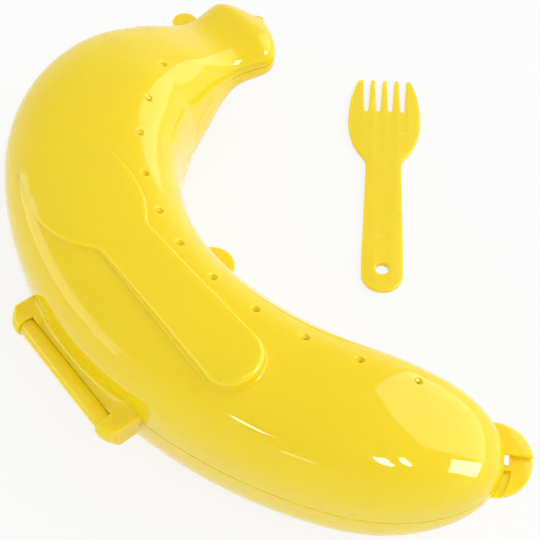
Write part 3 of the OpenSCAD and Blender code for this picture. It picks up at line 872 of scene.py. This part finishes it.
def make_tab(name, s, offset, radius):
    """Round tab of the lid that stands out of the wall at the seam."""
    x, y = beside(s, offset)
    heading = float(spine(s)[2])
    outward = np.array((-math.sin(heading), math.cos(heading))) * math.copysign(1.0, offset)
    across = np.array((outward[1], -outward[0]))
    wall = abs(offset) - float(half_width(s, 0.0))
    angles = np.radians(np.arange(0, 181, 6))
    outline = [(radius * math.cos(a), radius * math.sin(a)) for a in angles]
    outline += [(-radius, -wall - RIM_ROOT), (radius, -wall - RIM_ROOT)]
    return plate(name, [outline], TAB_T, TAB_EDGE,
                 lambda u, v, w: (x + across[0] * u + outward[0] * v, y + across[1] * u + outward[1] * v,
                                  PARTING_Z + w))


def tail_frame():
    """Middle and axes of the tail's split tab: u along the spine, v to the hollow of the bend."""
    heading = float(spine(TAIL_TAB_AT)[2])
    c, s = math.cos(heading), math.sin(heading)
    return beside(TAIL_TAB_AT, TAIL_TAB_ASIDE), np.array(((c, s), (-s, c)))


def tail_place(z):
    """Puts points of a plate on the tail's tab, with its underside at a height."""
    middle, axes = tail_frame()
    return lambda u, v, w: (*(middle + u * axes[0] + v * axes[1]), z + w)


def tail_wall(inset, offsets):
    """Points on the tail's round end at offsets from the spine, in the tab's own plan."""
    s = np.linspace(TAIL_LENGTH - TAIL_CAP, TAIL_LENGTH - inset, TAIL_WALL_PLACES)
    at = np.interp(np.abs(offsets), half_width(s, inset)[::-1], s[::-1])
    middle, axes = tail_frame()
    return (beside(at, offsets) - middle) @ axes.T


def tail_outline(side):
    """Part of the tail's split tab, on the hollow (1) or the outer (-1) side of the split."""
    edge = TAIL_SPLIT if side > 0 else TAIL_SPLIT + TAIL_LAP
    first = math.degrees(math.asin(edge / TAIL_TAB_R))
    last, root = (LID_TAB_END, RIM_ROOT) if side > 0 else (BASE_TAB_END, ROOT)
    angles = np.radians(np.linspace(first, last, TAIL_TAB_STEPS))
    rim = TAIL_TAB_R * np.stack([np.cos(angles), np.sin(angles)], axis=-1)
    back = tail_wall(root, np.linspace(rim[-1, 1], edge, TAIL_WALL_STEPS) + TAIL_TAB_ASIDE)
    back[-1, 1] = edge
    return np.concatenate([rim, back])


def make_groove():
    """Cutter for the curved groove between the tail's end and the base's half of its tab."""
    turn = np.radians(np.linspace(GROOVE_FROM, GROOVE_TO, GROOVE_STEPS))

    def edge(inset):
        s = TAIL_LENGTH - TAIL_CAP + (TAIL_CAP - inset) * np.sin(turn)
        return beside(s, -half_width(s, inset))

    outline = np.concatenate([edge(-GROOVE_W), edge(-GROOVE_LAND)[::-1]])
    return prism("groove", outline, BASE_Z - GROOVE_DEPTH, BASE_Z + CUT_OVER)


def make_slit():
    """Cutter for the slit right through the base's part of the tab, from the split."""
    start = TAIL_LENGTH - TAIL_TAB_AT + GROOVE_LAND
    end = start + SLIT_W
    near, far = TAIL_SPLIT - SLIT_LENGTH, TAIL_SPLIT + TAIL_LAP + CUT_OVER
    corners = [(start, near, SLIT_ROUND), (end, near, SLIT_ROUND), (end, far, 0), (start, far, 0)]
    return plate("slit", [rounded(corners)], TAB_T + 2 * CUT_OVER, CUT_EDGE,
                 tail_place(BASE_Z - TAB_T - CUT_OVER))


def make_stem_tab():
    """Ledge of the base at the stem's end, its edge turned against the end."""
    x, y, heading = (float(v) for v in spine(-STEM_LENGTH))
    along = np.array((math.cos(heading), math.sin(heading)))
    aside = np.array((-math.sin(heading), math.cos(heading)))
    middle = np.array((x, y)) - STEM_TAB_OUT * along - STEM_TAB_ASIDE * aside
    c, s = math.cos(heading + STEM_TAB_TURN), math.sin(heading + STEM_TAB_TURN)
    half, deep, low = STEM_TAB_W / 2, STEM_TAB_DEEP, BASE_Z - TAB_T
    corners = [(0, -half, STEM_TAB_ROUND_OUT), (deep, -half, 0),
               (deep, half, 0), (0, half, STEM_TAB_ROUND_IN)]
    return plate("stem_tab", [rounded(corners)], TAB_T, TAB_EDGE,
                 lambda u, v, w: (middle[0] + c * u - s * v, middle[1] + s * u + c * v, low + w))


# Materials

# Noises of the plastic: scale, detail, roughness
TONE_NOISE = (22.0, 3.0, 0.5)
POLISH_NOISE = (160.0, 4.0, 0.6)
RIPPLE_NOISE = (420.0, 2.0, 0.5)
# Values of the noises at which the first and the second tone or polish are reached
TONE_SPAN = (0.3, 0.75)
POLISH_SPAN = (0.35, 0.7)
RIPPLE_STRENGTH = 0.03
RIPPLE_HEIGHT = 0.0004
PLASTIC_IOR = 1.5
# How far red, green and blue light spread under the surface, as shares of a length in metres
SCATTER_REACH = (0.7, 0.9, 0.2)
SCATTER_SCALE = 0.0015
FLOOR_GREY = 0.86
# Share of plain white in what the camera and reflections see of the floor; the lit rest holds the shadow
FLOOR_WHITE = 0.8


def plastic(name, colour, pale, roughness):
    """Moulded plastic: faint tone drift, fine surface ripple and uneven polish."""
    material = bpy.data.materials.new(name)
    material.use_nodes = True
    nodes, links = material.node_tree.nodes, material.node_tree.links
    shader = nodes["Principled BSDF"]
    coords = nodes.new("ShaderNodeTexCoord")

    def noise(scale, detail, grain):
        node = nodes.new("ShaderNodeTexNoise")
        node.inputs["Scale"].default_value = scale
        node.inputs["Detail"].default_value = detail
        node.inputs["Roughness"].default_value = grain
        links.new(coords.outputs["Object"], node.inputs["Vector"])
        return node.outputs["Fac"]

    def ramp(value, span, tones):
        node = nodes.new("ShaderNodeValToRGB")
        for element, place, tone in zip(node.color_ramp.elements, span, tones):
            element.position, element.color = place, (*tone, 1.0)
        links.new(value, node.inputs["Fac"])
        return node.outputs["Color"]

    tone = ramp(noise(*TONE_NOISE), TONE_SPAN, (colour, pale))
    links.new(tone, shader.inputs["Base Color"])
    polish = ramp(noise(*POLISH_NOISE), POLISH_SPAN, [(value,) * 3 for value in roughness])
    links.new(polish, shader.inputs["Roughness"])
    ripple = nodes.new("ShaderNodeBump")
    ripple.inputs["Strength"].default_value = RIPPLE_STRENGTH
    ripple.inputs["Distance"].default_value = RIPPLE_HEIGHT
    links.new(noise(*RIPPLE_NOISE), ripple.inputs["Height"])
    links.new(ripple.outputs["Normal"], shader.inputs["Normal"])
    shader.inputs["IOR"].default_value = PLASTIC_IOR
    shader.inputs["Subsurface Weight"].default_value = 1.0
    shader.inputs["Subsurface Radius"].default_value = SCATTER_REACH
    shader.inputs["Subsurface Scale"].default_value = SCATTER_SCALE
    return material


def white_floor():
    """Pale floor that the camera and reflections see near white, with the soft shadow of the object."""
    material = bpy.data.materials.new("floor_white")
    material.use_nodes = True
    nodes, links = material.node_tree.nodes, material.node_tree.links
    nodes.clear()
    matte = nodes.new("ShaderNodeBsdfDiffuse")
    matte.inputs["Color"].default_value = (FLOOR_GREY, FLOOR_GREY, FLOOR_GREY, 1.0)
    glow = nodes.new("ShaderNodeEmission")
    glow.inputs["Color"].default_value = (1.0, 1.0, 1.0, 1.0)
    path = nodes.new("ShaderNodeLightPath")

    def either(first, second):
        node = nodes.new("ShaderNodeMath")
        node.operation = "MAXIMUM"
        links.new(first, node.inputs[0])
        links.new(second, node.inputs[1])
        return node.outputs[0]

    mirrored = either(path.outputs["Is Glossy Ray"], path.outputs["Is Transmission Ray"])
    share = nodes.new("ShaderNodeMath")
    share.operation = "MULTIPLY"
    share.inputs[1].default_value = FLOOR_WHITE
    links.new(either(path.outputs["Is Camera Ray"], mirrored), share.inputs[0])
    mix = nodes.new("ShaderNodeMixShader")
    links.new(share.outputs[0], mix.inputs["Fac"])
    links.new(matte.outputs[0], mix.inputs[1])
    links.new(glow.outputs[0], mix.inputs[2])
    output = nodes.new("ShaderNodeOutputMaterial")
    links.new(mix.outputs[0], output.inputs["Surface"])
    return material


# The pieces

case_plastic = plastic("case_plastic_gloss", (0.910, 0.690, 0.009), (0.925, 0.710, 0.012), (0.04, 0.09))
fork_plastic = plastic("fork_plastic_satin", (0.915, 0.710, 0.020), (0.930, 0.730, 0.026), (0.24, 0.28))


def finish_piece(obj, body, material):
    """Gives a piece its material and sets it on its body."""
    obj.data.materials.append(material)
    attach(obj, body)


lid_rim = [(RIM_ROUND + SMOOTH_INSET, PARTING_Z), (SKIN, PARTING_Z), (SKIN, REBATE_Z)]
lid = shell("lid_shell", LID, REBATE_DEPTH, 1, PARTING_Z, lid_rim)
additions = [
    make_pad(), make_ear(-1), make_ear(1), make_cove(),
    make_tab("inner_tab", INNER_TAB_AT, float(half_width(INNER_TAB_AT, 0.0)), INNER_TAB_R),
    make_tab("neck_tab", NECK_TAB_AT, -float(half_width(NECK_TAB_AT, 0.0)) - NECK_TAB_OUT, NECK_TAB_R),
    plate("tail_tab", [tail_outline(1)], TAB_T, TAB_EDGE, tail_place(PARTING_Z)),
]
cutters = [make_pocket(), *make_vents(), *make_sockets()]
combine(lid, [("UNION", obj) for obj in additions] + [("DIFFERENCE", obj) for obj in cutters])
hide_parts("lid")
finish_piece(lid, "lid", case_plastic)

lip_z = PARTING_Z + LIP_HEIGHT
base_rim = [(RIM_ROUND + SMOOTH_INSET, BASE_Z), (LIP_INSET, BASE_Z), (LIP_INSET, lip_z - LIP_CHAMFER),
            (LIP_INSET + LIP_CHAMFER, lip_z), (WALL - LIP_CHAMFER, lip_z), (WALL, lip_z - LIP_CHAMFER)]
base = shell("base_shell", BASE, 0.0, -1, BASE_Z, base_rim, inner_low=WALL, outer_low=0.0)
additions = [
    make_bar(), make_web(), make_stem_tab(),
    plate("tail_tab_low", [tail_outline(-1)], TAB_T, TAB_EDGE, tail_place(BASE_Z - TAB_T)),
]
cutters = [make_groove(), make_slit()]
combine(base, [("UNION", obj) for obj in additions] + [("DIFFERENCE", obj) for obj in cutters])
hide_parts("base")
finish_piece(base, "base", case_plastic)


def make_fork():
    """Fork lying on the table: a flat plate with rounded edges, five tines and a hole in the handle."""
    upper = fork_edge(HANDLE_STEPS, FORK_STEPS, FORK_LENGTH - OUTER_TIP_BACK)
    corners = [(x, y, 0.0) for x, y in upper[1:]]
    root = FORK_LENGTH - TINE_LENGTH
    outer_tip = float(fork_half(np.array(FORK_LENGTH))) - OUTER_TIP_IN
    corners.append((FORK_LENGTH, outer_tip, OUTER_TIP_ROUND))
    for i in range(SLOTS):
        middle = (SLOTS - 1 - 2 * i) / 2 * SLOT_PITCH
        corners += [(FORK_LENGTH, middle + SLOT_TIP_HALF, TIP_ROUND), (root, middle + SLOT_HALF, SLOT_ROUND),
                    (root, middle - SLOT_HALF, SLOT_ROUND), (FORK_LENGTH, middle - SLOT_TIP_HALF, TIP_ROUND)]
    corners.append((FORK_LENGTH, -outer_tip, OUTER_TIP_ROUND))
    corners += [(x, -y, 0.0) for x, y in upper[:0:-1]]
    corners.append((0.0, 0.0, 0.0))
    hole = [(HOLE_AT + HOLE_R * math.cos(a), HOLE_R * math.sin(a))
            for a in np.radians(np.arange(0, 360, 10))]
    c, s = math.cos(FORK_TURN), math.sin(FORK_TURN)
    return plate("fork_plate", [rounded(corners), hole], FORK_T, FORK_EDGE,
                 lambda u, v, w: (FORK_LIES_AT[0] + c * u - s * v, FORK_LIES_AT[1] + s * u + c * v, w))


fork = make_fork()
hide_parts("fork")
finish_piece(fork, "fork", fork_plastic)


# Stage, light and camera

# Lamps stand off the tail's end: right is the picture's right in plan, near is towards the viewer
LAMPS_FROM = np.array((0.085, 0.03, 0.04))
LAMP_RIGHT = np.array((0.6238, 0.7816, 0.0))
LAMP_NEAR = np.array((0.7816, -0.6238, 0.0))
# Surroundings: place from the walls to the top, and grey there
WORLD_WALLS = (0.05, 1.0)
WORLD_TOP = (0.5, 0.58)
FLOOR_HALF = 3000.0


def lamp(name, right, near, up, size, radiance, upright=False, roll=0.0, card=False):
    """Soft box that faces the object, upright or tilted; radiance is what a mirror would show of it.

    A card is seen only in reflections.
    """
    light = bpy.data.lights.new(name, "AREA")
    light.shape = "RECTANGLE"
    light.size, light.size_y = size
    light.energy = radiance * math.pi * size[0] * size[1]
    obj = bpy.data.objects.new(name, light)
    away = right * LAMP_RIGHT + near * LAMP_NEAR + np.array((0.0, 0.0, up))
    obj.location = LAMPS_FROM + away
    face = -away * (1, 1, 0) if upright else -away
    turn = Vector(face).to_track_quat("-Z", "Y") @ Quaternion((0.0, 0.0, 1.0), math.radians(roll))
    obj.rotation_euler = turn.to_euler()
    obj.visible_diffuse = not card
    bpy.context.scene.collection.objects.link(obj)


def studio_world():
    """Soft surroundings like a light tent's: pale walls all round and a dimmer top."""
    world = bpy.context.scene.world or bpy.data.worlds.new("studio")
    bpy.context.scene.world = world
    world.use_nodes = True
    nodes, links = world.node_tree.nodes, world.node_tree.links
    coords = nodes.new("ShaderNodeTexCoord")
    turn = nodes.new("ShaderNodeMapping")
    turn.inputs["Rotation"].default_value = (0.0, math.radians(90.0), 0.0)
    links.new(coords.outputs["Generated"], turn.inputs["Vector"])
    across = nodes.new("ShaderNodeTexGradient")
    links.new(turn.outputs["Vector"], across.inputs["Vector"])
    tone = nodes.new("ShaderNodeValToRGB")
    for element, (place, grey) in zip(tone.color_ramp.elements, (WORLD_WALLS, WORLD_TOP)):
        element.position, element.color = place, (grey, grey, grey, 1.0)
    links.new(across.outputs["Fac"], tone.inputs["Fac"])
    links.new(tone.outputs["Color"], nodes["Background"].inputs["Color"])
    nodes["Background"].inputs["Strength"].default_value = 1.0


floor_corners = [(x * FLOOR_HALF, y * FLOOR_HALF, 0) for x, y in ((-1, -1), (1, -1), (1, 1), (-1, 1))]
floor = mesh_object("floor", floor_corners, [(0, 1, 2, 3)])
floor.data.materials.append(white_floor())
floor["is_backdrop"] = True

studio_world()
# Name, place (right, near, up) and size in metres, radiance
lamp("side_panel", 0.70, -0.44, 0.745, (1.02, 1.35), 1.6, upright=True)
lamp("left_panel", -1.10, -0.10, 0.18, (1.00, 0.36), 1.2)
lamp("window", 0.90, 0.27, 0.35, (0.42, 0.55), 11.0, roll=20.0, card=True)
lamp("front_strip", -0.55, 0.605, 0.62, (0.12, 0.025), 40.0)
lamp("low_strip", -0.475, 0.85, 0.31, (0.12, 0.02), 8.0)
lamp("viewer_spot", 0.15, 0.555, 0.825, (0.12, 0.21), 18.0)
lamp("viewer_spot_right", 0.345, 0.445, 0.83, (0.08, 0.21), 18.0, roll=-20.0)

CAMERA_AT = (151.9, -78.5, 277.9)
CAMERA_AIM = (-8.1, 49.2, 0.0)
FOCAL_PIXELS = 1078.5
IMAGE_PIXELS = 540.0
SENSOR_WIDTH = 36.0
NEAR_CLIP = 0.01
camera = bpy.data.cameras.new("camera")
camera.sensor_width = SENSOR_WIDTH
camera.sensor_fit = "HORIZONTAL"
camera.lens = SENSOR_WIDTH * FOCAL_PIXELS / IMAGE_PIXELS
camera.clip_start = NEAR_CLIP
eye = bpy.data.objects.new("camera", camera)
eye.location = Vector(CAMERA_AT) * MM
eye.rotation_euler = ((Vector(CAMERA_AIM) - Vector(CAMERA_AT)) * MM).to_track_quat("-Z", "Y").to_euler()
bpy.context.scene.collection.objects.link(eye)
bpy.context.scene.camera = eye

bpy.context.scene.view_settings.view_transform = "Standard"

boxes = {"cad": cad_box, "visual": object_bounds()}
{k: [[float(v) for v in corner] for corner in box] for k, box in boxes.items()}
